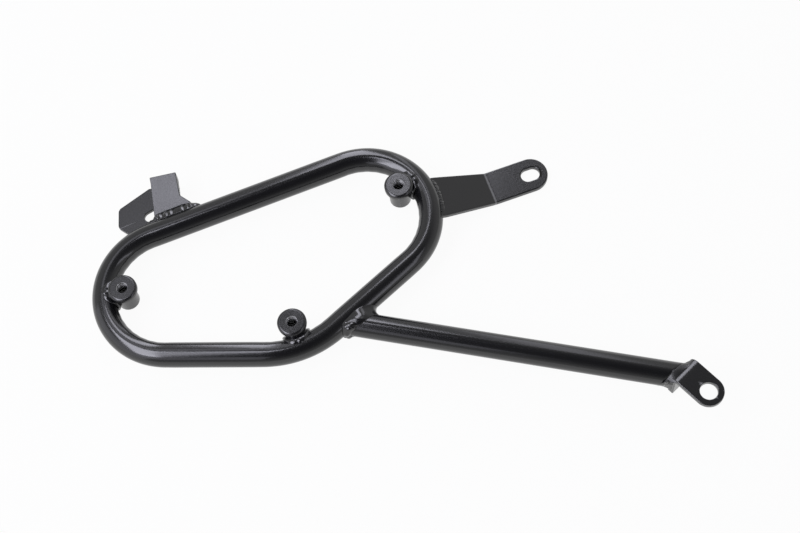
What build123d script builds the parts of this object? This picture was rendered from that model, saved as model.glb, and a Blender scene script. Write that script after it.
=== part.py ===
import os
from math import asin, atan2, cos, degrees, radians, sin, sqrt, tan

from build123d import *

os.makedirs("parts", exist_ok=True)

# Tube stock, the same for the loop and the strut
tube_diameter = 16.0
tube_wall = 2.0

# Loop: a bent ring whose tube axis lies in the plane Z = 0
end_bend_radius = 43.0
lower_bend_radius = 64.0
bottom_straight = 62.5
top_straight = 133.0
top_slope = 22.2
vent_diameter = 6.0

# Threaded bosses inside the loop, each placed by its angle about the centre of its bend
boss_length = 20.0
boss_body_diameter = 14.0
boss_head_diameter = 18.5
boss_head_thickness = 4.0
boss_head_chamfer = 1.2
boss_saddle_depth = 1.0
thread_drill = 6.8
thread_mouth_chamfer = 0.8
boss_lower_angle = -68.7
boss_left_angle = 183.8
boss_upper_angle = 39.9

# Strut: its length runs from the loop's tube axis to the face of its tab
strut_station = 5.5
strut_angle = -10.0
strut_length = 209.5

# Tab on the strut's far end, a flat bar bent square
tab_angle = -45.0
tab_width = 18.8
tab_thickness = 4.0
tab_inner_radius = 2.0
tab_top = 8.5
tab_foot = -15.0
tab_reach = 22.0
tab_side_shift = 3.6
tab_hole = 11.0

# Rear strap, a tapered flat bar with one bend near its middle
strap_angle = 20.3
strap_side_shift = -2.65
strap_thickness = 4.0
strap_inner_radius = 3.0
strap_root_width = 28.6
strap_end_width = 22.5
strap_bend_reach = 34.0
strap_drop = 13.0
strap_slot_reach = 62.5
strap_slot_length = 12.5
strap_slot_width = 9.4

# Hanger bracket, one folded sheet: a flange on the tube's side, a web and a plate under the tube
bracket_station = 14.5
bracket_angle = 13.0
bracket_thickness = 3.0
bracket_inner_radius = 0.5
bracket_width = 17.5
bracket_reach = 38.2
bracket_clearance = 0.1
web_taper = 1.2
flange_tilt = 14.0
flange_seat_height = -2.0
flange_west_flare = 1.8
flange_flare = 6.0
flange_flare_top = 21.4
flange_flare_foot = 15.7
plate_ear = 3.8
plate_ear_reach = 36.6
plate_relief = 1.0
plate_west_top = (-34.5, 26.0)
plate_west_foot = (-36.3, 12.8)
plate_south_west = -19.7
plate_south_east = -3.0
plate_under_tube = 1.0
plate_waist = (1.5, 24.0)
plate_corner_radius = 2.0
plate_slot_centre = (-11.4, 17.2)
plate_slot_angle = 21.0
plate_slot_length = 14.0
plate_slot_width = 6.8

# Weld beads, by their radius or the length of their legs
boss_weld_leg = 4.2
boss_weld_height = 1.8
strut_weld_leg = 1.8
tab_weld_leg = 2.5
strap_weld_leg = 1.6
flange_weld_leg = 4.2
flange_weld_rise = 5.0
flange_weld_west = 12.0
flange_weld_east = 22.0
plate_weld_leg = 2.5

# Places worked out from the sizes above, with the lower boss's axis at the origin
tube_radius = tube_diameter / 2
bore_radius = tube_radius - tube_wall
boss_inset = tube_radius + boss_body_diameter / 2 - boss_saddle_depth


def heading(angle):
    return Vector(cos(radians(angle)), sin(radians(angle)), 0)


def side_plane(origin, angle):
    # An upright plane: its X runs along the heading and its Y is the row's Z
    return Plane(origin, x_dir=heading(angle), z_dir=heading(angle - 90))


def write(piece, name):
    piece.label = name
    export_step(piece, f"parts/{name}.step")


lower_centre = heading(boss_lower_angle) * (boss_inset - lower_bend_radius)
left_centre = lower_centre + Vector(-bottom_straight, end_bend_radius - lower_bend_radius, 0)
right_centre = left_centre + heading(top_slope) * top_straight
rise = right_centre - lower_centre
rise_slope = degrees(atan2(rise.Y, rise.X) + asin((lower_bend_radius - end_bend_radius) / rise.length))

# Tube axis of the loop: three straights joined by three bends
with BuildLine():
    bottom_run = Line(left_centre - (0, end_bend_radius), lower_centre - (0, lower_bend_radius))
    lower_bend = CenterArc(lower_centre, lower_bend_radius, -90, rise_slope)
    rise_run = Line(lower_bend @ 1, right_centre + heading(rise_slope - 90) * end_bend_radius)
    right_bend = CenterArc(right_centre, end_bend_radius, rise_slope - 90, 180 + top_slope - rise_slope)
    top_run = Line(right_bend @ 1, left_centre + heading(top_slope + 90) * end_bend_radius)
    left_bend = CenterArc(left_centre, end_bend_radius, top_slope + 90, 180 - top_slope)

loop_runs = [bottom_run, rise_run, top_run]
loop_bends = [(lower_bend, lower_centre), (right_bend, right_centre), (left_bend, left_centre)]


def rod_along_loop(radius):
    with BuildPart() as rod:
        for run in loop_runs:
            with BuildSketch(Plane(run @ 0, z_dir=run % 0)):
                Circle(radius)
            extrude(amount=run.length)
        for bend, centre in loop_bends:
            turn = degrees(bend.length / bend.radius)
            with BuildSketch(Plane(bend @ 0, z_dir=bend % 0)):
                Circle(radius)
            revolve(axis=Axis(centre, (0, 0, 1)), revolution_arc=turn)
    return rod.part


# The loop as a solid rod seats and copes every piece that meets it
loop_rod = rod_along_loop(tube_radius)

strut_root = rise_run @ 0 + heading(rise_slope) * strut_station
strut_end = strut_root + heading(strut_angle) * strut_length
strut_start = Plane(strut_root, z_dir=heading(strut_angle))

# Strut tab: an upright leg against the strut and a level leg with the bolt hole
tab_root = strut_end + heading(tab_angle + 90) * tab_side_shift
tab_side = side_plane(tab_root, tab_angle)
tab_hole_plane = Plane(tab_root + heading(tab_angle) * tab_reach).offset(tab_top)


def tab_line(depth, reach):
    # The bent line at a depth below the tab's outer face
    corner = (depth, tab_top - depth)
    bend_radius = tab_inner_radius + tab_thickness - depth
    return FilletPolyline((depth, tab_foot), corner, (reach, tab_top - depth), radius=bend_radius)


with BuildPart() as tab_blank:
    with BuildSketch(tab_side):
        with BuildLine():
            tab_line(tab_thickness / 2, tab_reach)
        trace(line_width=tab_thickness)
    extrude(amount=tab_width / 2, both=True)
    with BuildSketch(tab_hole_plane):
        Circle(tab_width / 2)
    extrude(amount=-tab_thickness)
    with BuildSketch(tab_hole_plane):
        Circle(tab_hole / 2)
    extrude(amount=-tab_thickness, mode=Mode.SUBTRACT)

# Everything behind the tab's outer face, which trims the strut's end and its weld
with BuildPart() as tab_back:
    with BuildSketch(tab_side):
        with BuildLine():
            tab_outside = tab_line(0, tab_reach)
            Polyline(tab_outside @ 1, (tab_reach, tab_foot), tab_outside @ 0)
        make_face()
    extrude(amount=tab_width, both=True)

# Strut tube, coped to the loop at its root and trimmed to the tab at its end
with BuildPart() as strut_rod:
    with BuildSketch(strut_start):
        Circle(tube_radius)
    extrude(amount=strut_length + tube_diameter)
    add(tab_back.part, mode=Mode.SUBTRACT)

with BuildPart() as strut_tube:
    add(strut_rod.part)
    with BuildSketch(strut_start):
        Circle(bore_radius)
    extrude(amount=strut_length + tube_diameter, mode=Mode.SUBTRACT)
    add(loop_rod, mode=Mode.SUBTRACT)
write(strut_tube.part, "strut_tube")

# Tab with its weld: what lies within one leg of both the strut and the tab's outer face closes the strut's end
tab_weld_reach = tab_thickness + tab_inner_radius + tab_weld_leg
with BuildPart() as strut_tab:
    with BuildSketch(tab_side):
        with BuildLine():
            tab_line(0, tab_weld_reach)
        trace(line_width=2 * tab_weld_leg)
    extrude(amount=tab_width / 2 + tab_side_shift, both=True)
    with BuildSketch(strut_start):
        Circle(tube_radius + tab_weld_leg)
    extrude(amount=strut_length + tube_diameter, mode=Mode.INTERSECT)
    add(strut_rod.part, mode=Mode.SUBTRACT)
    add(tab_blank.part)
write(strut_tab.part, "strut_tab")

# Rear strap: from the outside of the right bend down to a level end with a slot
outer_bend_radius = end_bend_radius + tube_radius
strap_axis_start = right_centre + heading(strap_angle + 90) * strap_side_shift
strap_root = strap_axis_start + heading(strap_angle) * sqrt(outer_bend_radius**2 - strap_side_shift**2)
strap_plan = Plane(strap_root, x_dir=heading(strap_angle), z_dir=(0, 0, 1))
strap_rise_in_tube = tube_radius * strap_drop / strap_bend_reach


def bent_bar(thickness, width):
    with BuildPart() as bar:
        with BuildSketch(side_plane(strap_root, strap_angle)):
            with BuildLine():
                FilletPolyline(
                    (-tube_radius, strap_rise_in_tube),
                    (strap_bend_reach, -strap_drop),
                    (strap_slot_reach + strap_end_width, -strap_drop),
                    radius=strap_inner_radius + strap_thickness / 2,
                )
            trace(line_width=thickness)
        extrude(amount=width / 2, both=True)
    return bar.part


strap_bar = bent_bar(strap_thickness, strap_root_width)
with BuildPart() as rear_strap:
    add(strap_bar)
    with BuildSketch(strap_plan.offset(-strap_drop - strap_thickness)):
        with BuildLine():
            Polyline(
                (-tube_radius, 0),
                (-tube_radius, strap_root_width / 2),
                (0, strap_root_width / 2),
                (strap_bend_reach, strap_end_width / 2),
                (strap_slot_reach, strap_end_width / 2),
                (strap_slot_reach, 0),
            )
            mirror(about=Plane.XZ)
        make_face()
        with Locations((strap_slot_reach, 0)):
            Circle(strap_end_width / 2)
            SlotOverall(strap_slot_length, strap_slot_width, mode=Mode.SUBTRACT)
    extrude(amount=strap_drop + strap_rise_in_tube + 2 * strap_thickness, mode=Mode.INTERSECT)
    add(loop_rod, mode=Mode.SUBTRACT)
write(rear_strap.part, "rear_strap")

# Hanger bracket: a folded strip, the flare of its foot and the plate under the tube
bracket_root = top_run @ 1 + heading(top_slope) * bracket_station
bracket_plan = Plane(bracket_root, x_dir=heading(bracket_angle), z_dir=(0, 0, 1))
bracket_middle = bracket_thickness / 2
half_bracket = bracket_width / 2
web_place = bracket_reach - bracket_middle
web_plane = side_plane(bracket_root, bracket_angle)
plate_top = -tube_radius - bracket_clearance
plate_fold = bracket_reach - bracket_thickness - bracket_inner_radius
plate_strip_end = plate_fold - plate_relief
flange_rise = tan(radians(flange_tilt))
flange_seat = bracket_root + heading(bracket_angle + 90) * tube_radius + Vector(0, 0, flange_seat_height)
flange_up = Vector(0, 0, cos(radians(flange_tilt))) - heading(bracket_angle + 90) * sin(radians(flange_tilt))
flange_plane = Plane(flange_seat, x_dir=heading(bracket_angle), z_dir=flange_up)
tube_slope = tan(radians(top_slope - bracket_angle))


def along_flange(reach):
    # Distance up the tilted flange from its seat, for a level reach from the tube axis
    return (reach - tube_radius) / cos(radians(flange_tilt))


def plate_south_edge(across):
    return (across, across * tube_slope - plate_under_tube)


with BuildPart() as hanger_bracket:
    with BuildSketch(side_plane(bracket_root, bracket_angle + 90)):
        with BuildLine():
            FilletPolyline(
                (0, flange_seat_height - tube_radius * flange_rise),
                (web_place, flange_seat_height + (web_place - tube_radius) * flange_rise),
                (web_place, plate_top - bracket_middle),
                (plate_strip_end, plate_top - bracket_middle),
                radius=bracket_inner_radius + bracket_middle,
            )
        trace(line_width=bracket_thickness)
    extrude(amount=half_bracket, both=True)
    with BuildSketch(web_plane):
        with BuildLine():
            Polyline(
                (half_bracket, flange_seat_height),
                (half_bracket - web_taper, plate_top),
                (half_bracket - web_taper, plate_top - bracket_thickness),
                (half_bracket, plate_top - bracket_thickness),
                close=True,
            )
        make_face()
    extrude(amount=bracket_reach, both=True, mode=Mode.SUBTRACT)
    with BuildSketch(flange_plane):
        with BuildLine():
            Polyline(
                (half_bracket, along_flange(flange_flare_top)),
                (half_bracket + flange_flare, along_flange(flange_flare_foot)),
                (half_bracket + flange_flare, along_flange(0)),
                (half_bracket, along_flange(0)),
                close=True,
            )
        make_face()
        with BuildLine():
            Polyline(
                (-half_bracket, along_flange(plate_fold)),
                (-half_bracket - flange_west_flare, along_flange(0)),
                (-half_bracket, along_flange(0)),
                close=True,
            )
        make_face()
    extrude(amount=bracket_middle, both=True)
    with BuildSketch(bracket_plan.offset(plate_top)) as plate_outline:
        with BuildLine():
            Polyline(
                (half_bracket - web_taper, plate_strip_end),
                (half_bracket - web_taper, plate_fold),
                (-half_bracket - plate_relief, plate_fold),
                (-half_bracket - plate_relief, plate_ear_reach),
                (-half_bracket - plate_ear, plate_ear_reach),
                plate_west_top,
                plate_west_foot,
                plate_south_edge(plate_south_west),
                plate_south_edge(plate_south_east),
                plate_waist,
                close=True,
            )
        make_face()
        fillet(plate_outline.vertices().sort_by(Axis.X)[:2], plate_corner_radius)
        with Locations(plate_slot_centre):
            SlotOverall(plate_slot_length, plate_slot_width, rotation=plate_slot_angle, mode=Mode.SUBTRACT)
    extrude(amount=-bracket_thickness)
    add(loop_rod, mode=Mode.SUBTRACT)
write(hanger_bracket.part, "hanger_bracket")

# Threaded bosses, turned, each with a saddle that seats on the tube
boss_foot = -tube_radius
boss_neck = boss_foot + boss_length - boss_head_thickness
boss_top = boss_foot + boss_length
body_radius = boss_body_diameter / 2
head_radius = boss_head_diameter / 2
drill_radius = thread_drill / 2
boss_places = {
    "lower": (Vector(0, 0, 0), boss_lower_angle),
    "left": (left_centre + heading(boss_left_angle) * (end_bend_radius - boss_inset), boss_left_angle),
    "upper": (right_centre + heading(boss_upper_angle) * (end_bend_radius - boss_inset), boss_upper_angle),
}
for place, (axis_point, angle) in boss_places.items():
    with BuildPart() as boss:
        with BuildSketch(side_plane(axis_point, 0)):
            with BuildLine():
                Polyline(
                    (drill_radius + thread_mouth_chamfer, boss_foot),
                    (body_radius, boss_foot),
                    (body_radius, boss_neck),
                    (head_radius, boss_neck),
                    (head_radius, boss_top - boss_head_chamfer),
                    (head_radius - boss_head_chamfer, boss_top),
                    (drill_radius + thread_mouth_chamfer, boss_top),
                    (drill_radius, boss_top - thread_mouth_chamfer),
                    (drill_radius, boss_foot + thread_mouth_chamfer),
                    close=True,
                )
            make_face()
        revolve(axis=Axis(axis_point, (0, 0, 1)))
        add(loop_rod, mode=Mode.SUBTRACT)
    write(boss.part, f"boss_{place}")

# Welds on the loop. Round each boss: a ring cut down to a low cylinder along the tube
boss_welds = []
for axis_point, angle in boss_places.values():
    with BuildPart() as boss_weld:
        with BuildSketch(Plane(axis_point).offset(boss_foot)):
            Circle(body_radius + boss_weld_leg)
            Circle(body_radius, mode=Mode.SUBTRACT)
        extrude(amount=boss_neck - boss_foot)
        with BuildSketch(Plane(axis_point + heading(angle) * boss_inset, z_dir=heading(angle + 90))):
            Circle(tube_radius + boss_weld_height)
        extrude(amount=body_radius + boss_weld_leg, both=True, mode=Mode.INTERSECT)
    boss_welds.append(boss_weld.part)

# Round the strut's root: what lies within one leg of both tubes
strut_weld_zone = rod_along_loop(tube_radius + strut_weld_leg)
with BuildPart() as strut_weld:
    with BuildSketch(strut_start):
        Circle(tube_radius + strut_weld_leg)
    extrude(amount=strut_length)
    add(strut_weld_zone, mode=Mode.INTERSECT)
    add(strut_rod.part, mode=Mode.SUBTRACT)

# Along the upper and the lower face of the strap's root: two thin beads
strap_weld_zone = rod_along_loop(tube_radius + strap_weld_leg)
strap_weld_bar = bent_bar(strap_thickness + 2 * strap_weld_leg, strap_root_width - strap_thickness)
with BuildPart() as strap_welds:
    add(strap_weld_bar)
    add(strap_weld_zone, mode=Mode.INTERSECT)
    add(strap_bar, mode=Mode.SUBTRACT)

# On top of the bracket's flange, against the tube: a heavy fillet
flange_weld_toe = tube_radius + flange_weld_leg
flange_weld_foot = flange_seat_height + flange_weld_leg * flange_rise
with BuildPart() as flange_weld:
    with BuildSketch(side_plane(bracket_root, top_slope + 90)):
        with BuildLine():
            Polyline(
                (0, flange_seat_height),
                (flange_weld_toe, flange_weld_foot),
                (flange_weld_toe, flange_weld_foot + bracket_middle),
                (sqrt(tube_radius**2 - flange_weld_rise**2), flange_weld_rise),
                (0, flange_weld_rise),
                close=True,
            )
        make_face()
    extrude(amount=flange_weld_east)
    extrude(flange_weld.faces().sort_by(Axis(bracket_root, heading(top_slope)))[0], amount=flange_weld_west)
    add(hanger_bracket.part, mode=Mode.SUBTRACT)

# Along the plate's south edge, under the tube
plate_weld_zone = rod_along_loop(tube_radius + plate_weld_leg)
edge_west = plate_south_edge(plate_south_west)
edge_east = plate_south_edge(plate_south_east)
with BuildPart() as plate_weld:
    with BuildSketch(bracket_plan.offset(plate_top - bracket_thickness)):
        with BuildLine():
            Polyline(
                edge_west,
                edge_east,
                (edge_east[0], edge_east[1] - plate_weld_leg),
                (edge_west[0], edge_west[1] - plate_weld_leg),
                close=True,
            )
        make_face()
    extrude(amount=bracket_thickness + plate_weld_leg)
    add(plate_weld_zone, mode=Mode.INTERSECT)

# Loop tube with its welds, and a vent hole in its wall that the strut covers
loop_bore = rod_along_loop(bore_radius)
with BuildPart() as loop_tube:
    add(loop_rod)
    add([*boss_welds, strut_weld.part, strap_welds.part, flange_weld.part, plate_weld.part])
    add(loop_bore, mode=Mode.SUBTRACT)
    with BuildSketch(strut_start):
        Circle(vent_diameter / 2)
    extrude(amount=tube_diameter, mode=Mode.SUBTRACT)
write(loop_tube.part, "loop_tube")
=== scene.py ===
import bmesh
import bpy
import numpy as np
from mathutils import Matrix, Vector


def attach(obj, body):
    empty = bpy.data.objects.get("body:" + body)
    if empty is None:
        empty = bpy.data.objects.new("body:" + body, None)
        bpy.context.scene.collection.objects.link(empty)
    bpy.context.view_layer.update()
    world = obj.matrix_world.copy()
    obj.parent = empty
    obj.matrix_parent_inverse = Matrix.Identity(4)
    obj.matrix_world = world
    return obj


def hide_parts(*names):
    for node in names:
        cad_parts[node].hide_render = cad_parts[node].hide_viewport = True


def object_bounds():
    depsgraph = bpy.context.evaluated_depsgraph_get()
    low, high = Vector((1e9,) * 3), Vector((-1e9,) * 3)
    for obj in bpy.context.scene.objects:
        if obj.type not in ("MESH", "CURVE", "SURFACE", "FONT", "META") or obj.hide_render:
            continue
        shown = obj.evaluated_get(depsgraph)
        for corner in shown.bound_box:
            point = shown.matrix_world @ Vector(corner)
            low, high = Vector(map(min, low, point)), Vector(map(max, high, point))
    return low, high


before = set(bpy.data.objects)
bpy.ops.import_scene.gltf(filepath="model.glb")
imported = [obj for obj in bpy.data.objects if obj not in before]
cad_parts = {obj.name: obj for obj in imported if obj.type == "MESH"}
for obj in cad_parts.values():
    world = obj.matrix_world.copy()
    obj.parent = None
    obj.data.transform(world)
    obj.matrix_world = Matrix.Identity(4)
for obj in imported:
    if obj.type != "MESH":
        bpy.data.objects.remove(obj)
cadBox = [[float(c) for c in corner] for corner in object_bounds()]
print("frame loaded with", len(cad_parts), "nodes")

scene = bpy.context.scene
scene.view_settings.view_transform = "Standard"
upward = np.array([0.0, 0.0, 1.0])
milli = 0.001  # shapes below are in millimetres
tiny = 1e-9  # keeps a divisor off zero
meshCare = {"merge": 2e-6, "sliver": 1e-7}  # metres: points this near are one, and edges this short go


def heading(turn):
    # unit vector in the floor plane, turned by degrees from +X
    angle = np.radians(turn)
    return np.stack([np.cos(angle), np.sin(angle), np.zeros_like(angle)], -1)


def gridFaces(rows, columns, wrapRows=False, wrapColumns=False):
    # quads between neighbours on a rows x columns grid of points
    row = np.arange(rows if wrapRows else rows - 1)[:, None]
    column = np.arange(columns if wrapColumns else columns - 1)[None, :]
    nextRow = (row + 1) % rows
    nextColumn = (column + 1) % columns
    corners = [row * columns + column, nextRow * columns + column,
               nextRow * columns + nextColumn, row * columns + nextColumn]
    return np.stack(corners, -1).reshape(-1, 4)


def addPiece(name, points, faces, finish, nodes=(), crease=None):
    # puts the arrays in a mesh, joins seams and poles, turns the faces outwards; crease keeps corners crisp
    mesh = bpy.data.meshes.new(name)
    mesh.from_pydata((points.reshape(-1, 3) * milli).tolist(), [], faces.tolist())
    work = bmesh.new()
    work.from_mesh(mesh)
    bmesh.ops.remove_doubles(work, verts=work.verts, dist=meshCare["merge"])
    bmesh.ops.dissolve_degenerate(work, edges=work.edges, dist=meshCare["sliver"])
    bmesh.ops.recalc_face_normals(work, faces=work.faces)
    work.to_mesh(mesh)
    work.free()
    mesh.polygons.foreach_set("use_smooth", np.ones(len(mesh.polygons), bool))
    if crease:
        mesh.set_sharp_from_angle(angle=np.radians(crease))
    mesh.materials.append(finish)
    piece = bpy.data.objects.new(name, mesh)
    scene.collection.objects.link(piece)
    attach(piece, "root")
    if nodes:
        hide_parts(*nodes)
    return piece


def spotsOf(piece):
    # the points of a piece's mesh as an array, in millimetres
    spots = np.empty(3 * len(piece.data.vertices))
    piece.data.vertices.foreach_get("co", spots)
    return spots.reshape(-1, 3) / milli


def laySteel(piece, amount):
    # how much steel shows instead of coat at each point, from 0 to 1, for the material to read: uncoated
    # threads in the bosses, and a painted highlight along the strap's fold
    steelLayer = piece.data.attributes.new("steelShare", "FLOAT", "POINT")
    steelLayer.data.foreach_set("value", amount.astype(np.float32))


# places of a Mix node's sockets, whose names repeat from kind to kind: two inputs and the output
colourA, colourB, colourMixed = 6, 7, 2
valueA, valueB, valueMixed = 2, 3, 0


def addSockets(group, side, sockets):
    # sockets on one side of a node group, each with its kind and its first value
    for name, (kind, value) in sockets.items():
        socket = group.interface.new_socket(name=name, in_out=side, socket_type="NodeSocket" + kind)
        if value is not None:
            socket.default_value = value


def addNodes(tree, *kinds):
    # new nodes of these kinds, in this order
    return [tree.nodes.new("ShaderNode" + kind) for kind in kinds]


def groupEnds(group):
    # what a node group is given, and what it gives back
    return group.nodes.new("NodeGroupInput").outputs, group.nodes.new("NodeGroupOutput").inputs


def wire(tree, *pairs):
    # joins each output to the input that stands beside it
    for output, socket in pairs:
        tree.links.new(output, socket)


def powderCoatGroup():
    # two noises: a fine one for orange peel, a broad one for uneven gloss and shade
    group = bpy.data.node_groups.new("powderCoat", "ShaderNodeTree")
    addSockets(group, "INPUT", {
        "Vector": ("Vector", None), "Color": ("Color", (0.02, 0.02, 0.02, 1)),
        "Shade Color": ("Color", (0.01, 0.01, 0.01, 1)), "Peel Scale": ("Float", 900.0),
        "Roughness": ("Float", 0.25), "Uneven": ("Float", 0.05),
    })
    addSockets(group, "OUTPUT", {
        "Color": ("Color", None), "Roughness": ("Float", None), "Height": ("Float", None),
    })
    given, result = groupEnds(group)
    peel, broad, mix = addNodes(group, "TexNoise", "TexNoise", "Mix")
    centred, swing, total = addNodes(group, "Math", "Math", "Math")
    peel.inputs["Detail"].default_value = 2.0
    broad.inputs["Scale"].default_value = 45.0  # patches about 20 mm across
    broad.inputs["Detail"].default_value = 4.0
    mix.data_type = "RGBA"
    centred.operation = "SUBTRACT"
    centred.inputs[1].default_value = 0.5  # the noise's mean
    swing.operation = "MULTIPLY"
    total.operation = "ADD"
    wire(
        group,
        (given["Vector"], peel.inputs["Vector"]),
        (given["Vector"], broad.inputs["Vector"]),
        (given["Peel Scale"], peel.inputs["Scale"]),
        (broad.outputs["Fac"], mix.inputs["Factor"]),
        (given["Color"], mix.inputs[colourA]),
        (given["Shade Color"], mix.inputs[colourB]),
        (broad.outputs["Fac"], centred.inputs[0]),
        (centred.outputs[0], swing.inputs[0]),
        (given["Uneven"], swing.inputs[1]),
        (swing.outputs[0], total.inputs[0]),
        (given["Roughness"], total.inputs[1]),
        (mix.outputs[colourMixed], result["Color"]),
        (total.outputs[0], result["Roughness"]),
        (peel.outputs["Fac"], result["Height"]),
    )
    return group


def paintedEdgeHighlightGroup():
    # where the mask and a patchy noise are both high, a lighter colour and its gloss take over: a painted
    # highlight on sharp edges
    group = bpy.data.node_groups.new("paintedEdgeHighlight", "ShaderNodeTree")
    addSockets(group, "INPUT", {
        "Vector": ("Vector", None), "Color": ("Color", (0.02, 0.02, 0.02, 1)),
        "Edge Highlight Color": ("Color", (0.1, 0.1, 0.1, 1)), "Roughness": ("Float", 0.25),
        "Edge Highlight Roughness": ("Float", 0.35), "Mask": ("Float", 0.0), "Amount": ("Float", 0.5),
    })
    addSockets(group, "OUTPUT", {"Color": ("Color", None), "Roughness": ("Float", None)})
    given, result = groupEnds(group)
    patch, share, edgeHighlight, colour, gloss = addNodes(group, "TexNoise", "Math", "Math", "Mix", "Mix")
    patch.inputs["Scale"].default_value = 160.0  # patches about 6 mm across
    patch.inputs["Detail"].default_value = 3.0
    share.operation = "MULTIPLY"
    edgeHighlight.operation = "MULTIPLY"
    edgeHighlight.use_clamp = True
    colour.data_type = "RGBA"
    gloss.data_type = "FLOAT"
    wire(
        group,
        (given["Vector"], patch.inputs["Vector"]),
        (patch.outputs["Fac"], share.inputs[0]),
        (given["Amount"], share.inputs[1]),
        (share.outputs[0], edgeHighlight.inputs[0]),
        (given["Mask"], edgeHighlight.inputs[1]),
        (edgeHighlight.outputs[0], colour.inputs["Factor"]),
        (edgeHighlight.outputs[0], gloss.inputs["Factor"]),
        (given["Color"], colour.inputs[colourA]),
        (given["Edge Highlight Color"], colour.inputs[colourB]),
        (given["Roughness"], gloss.inputs[valueA]),
        (given["Edge Highlight Roughness"], gloss.inputs[valueB]),
        (colour.outputs[colourMixed], result["Color"]),
        (gloss.outputs[valueMixed], result["Roughness"]),
    )
    return group


powderCoat = powderCoatGroup()
paintedEdgeHighlight = paintedEdgeHighlightGroup()


def addEdgeHighlightAndSteel(tree, shader, place, coat, look):
    # takes the coat's colour and gloss through the painted edge highlight, then on to steel: uncoated
    # threads, and a painted highlight on the strap's fold
    edgeHighlight, shape, edge, steelShare, steel = addNodes(tree, "Group", "NewGeometry", "MapRange", "Attribute", "Mix")
    edgeHighlight.node_tree = paintedEdgeHighlight
    edgeHighlight.inputs["Edge Highlight Color"].default_value = look["edgeHighlightColour"]
    edgeHighlight.inputs["Edge Highlight Roughness"].default_value = look["edgeHighlightRoughness"]
    edgeHighlight.inputs["Amount"].default_value = look["edgeHighlight"]
    edge.inputs["From Min"].default_value = look["edgeFrom"]
    edge.inputs["From Max"].default_value = look["edgeTo"]
    steelShare.attribute_name = "steelShare"
    steel.data_type = "RGBA"
    steel.inputs[colourB].default_value = look["steel"]
    wire(
        tree,
        (place.outputs["Object"], edgeHighlight.inputs["Vector"]),
        (shape.outputs["Pointiness"], edge.inputs["Value"]),
        (edge.outputs["Result"], edgeHighlight.inputs["Mask"]),
        (coat.outputs["Color"], edgeHighlight.inputs["Color"]),
        (coat.outputs["Roughness"], edgeHighlight.inputs["Roughness"]),
        (steelShare.outputs["Fac"], steel.inputs["Factor"]),
        (edgeHighlight.outputs["Color"], steel.inputs[colourA]),
        (steel.outputs[colourMixed], shader.inputs["Base Color"]),
        (steelShare.outputs["Fac"], shader.inputs["Metallic"]),
        (edgeHighlight.outputs["Roughness"], shader.inputs["Roughness"]),
    )


def coatMaterial(name, look):
    # black powder coat with its peel as bump; where the look asks for it, the painted edge highlight and the
    # steel come between coat and shader
    material = bpy.data.materials.new(name)
    material.use_nodes = True
    tree = material.node_tree
    shader = tree.nodes["Principled BSDF"]
    shader.inputs["Specular IOR Level"].default_value = look["mirror"]
    place, coat, bump = addNodes(tree, "TexCoord", "Group", "Bump")
    coat.node_tree = powderCoat
    coat.inputs["Color"].default_value = look["colour"]
    coat.inputs["Shade Color"].default_value = look["shade"]
    coat.inputs["Peel Scale"].default_value = look["peelScale"]
    coat.inputs["Roughness"].default_value = look["roughness"]
    coat.inputs["Uneven"].default_value = look["uneven"]
    bump.inputs["Strength"].default_value = look["peel"]
    bump.inputs["Distance"].default_value = look["peelDepth"]
    wire(
        tree,
        (place.outputs["Object"], coat.inputs["Vector"]),
        (coat.outputs["Color"], shader.inputs["Base Color"]),
        (coat.outputs["Roughness"], shader.inputs["Roughness"]),
        (coat.outputs["Height"], bump.inputs["Height"]),
        (bump.outputs["Normal"], shader.inputs["Normal"]),
    )
    if look["edgeHighlight"]:
        addEdgeHighlightAndSteel(tree, shader, place, coat, look)
    return material


# the tubes' finish, and what the other finishes change in it; lengths here are in metres
coatLook = {
    "colour": (0.0055, 0.0055, 0.0065, 1), "shade": (0.0035, 0.0035, 0.0042, 1), "mirror": 0.75,
    "roughness": 0.16, "uneven": 0.05, "peelScale": 600.0, "peel": 0.055, "peelDepth": 0.0002,
    # on the next line, a lighter, glossier colour painted on sharp edges as a highlight, how strongly it
    # shows, and the pointiness that counts as a sharp edge
    "edgeHighlightColour": (0.15, 0.15, 0.155, 1), "edgeHighlightRoughness": 0.3, "edgeHighlight": 0.0, "edgeFrom": 0.525, "edgeTo": 0.66,
    "steel": (0.6, 0.6, 0.61, 1),
}
tubeCoat = coatMaterial("tubeCoat", coatLook)
# plates and bosses get the painted edge highlight, plates most strongly
plateCoat = coatMaterial("plateCoat", {**coatLook, "roughness": 0.2, "peel": 0.1, "edgeHighlight": 1.3})
bossCoat = coatMaterial("bossCoat", {**coatLook, "roughness": 0.2, "peel": 0.1, "edgeHighlight": 0.35})
beadCoat = coatMaterial("beadCoat", {**coatLook, "roughness": 0.13, "peel": 0.1})
fillCoat = coatMaterial("fillCoat", {**coatLook, "roughness": 0.34, "peel": 0.1})
print("finishes made")

loopShape = {
    "radius": 8.0, "endBend": 43.0, "lowerBend": 64.0, "bottomRun": 62.5, "topRun": 133.0, "topSlope": 22.2,
    "lowerTurn": -68.7, "bossReach": 14.0, "flatten": 0.02, "blend": 6.0, "crease": 0.08, "creaseStep": 7.5,
    "around": 72, "step": 1.25,
}
tubeRadius = loopShape["radius"]
endBend = loopShape["endBend"]
lowerBend = loopShape["lowerBend"]
lowerCentre = heading(loopShape["lowerTurn"]) * (loopShape["bossReach"] - lowerBend)
leftCentre = lowerCentre + [-loopShape["bottomRun"], endBend - lowerBend, 0]
rightCentre = leftCentre + heading(loopShape["topSlope"]) * loopShape["topRun"]
riseSpan = rightCentre - lowerCentre
riseReach = np.hypot(riseSpan[0], riseSpan[1])
riseSlope = np.degrees(np.arctan2(riseSpan[1], riseSpan[0]) + np.arcsin((lowerBend - endBend) / riseReach))
riseRun = np.sqrt(riseReach**2 - (lowerBend - endBend) ** 2)

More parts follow.
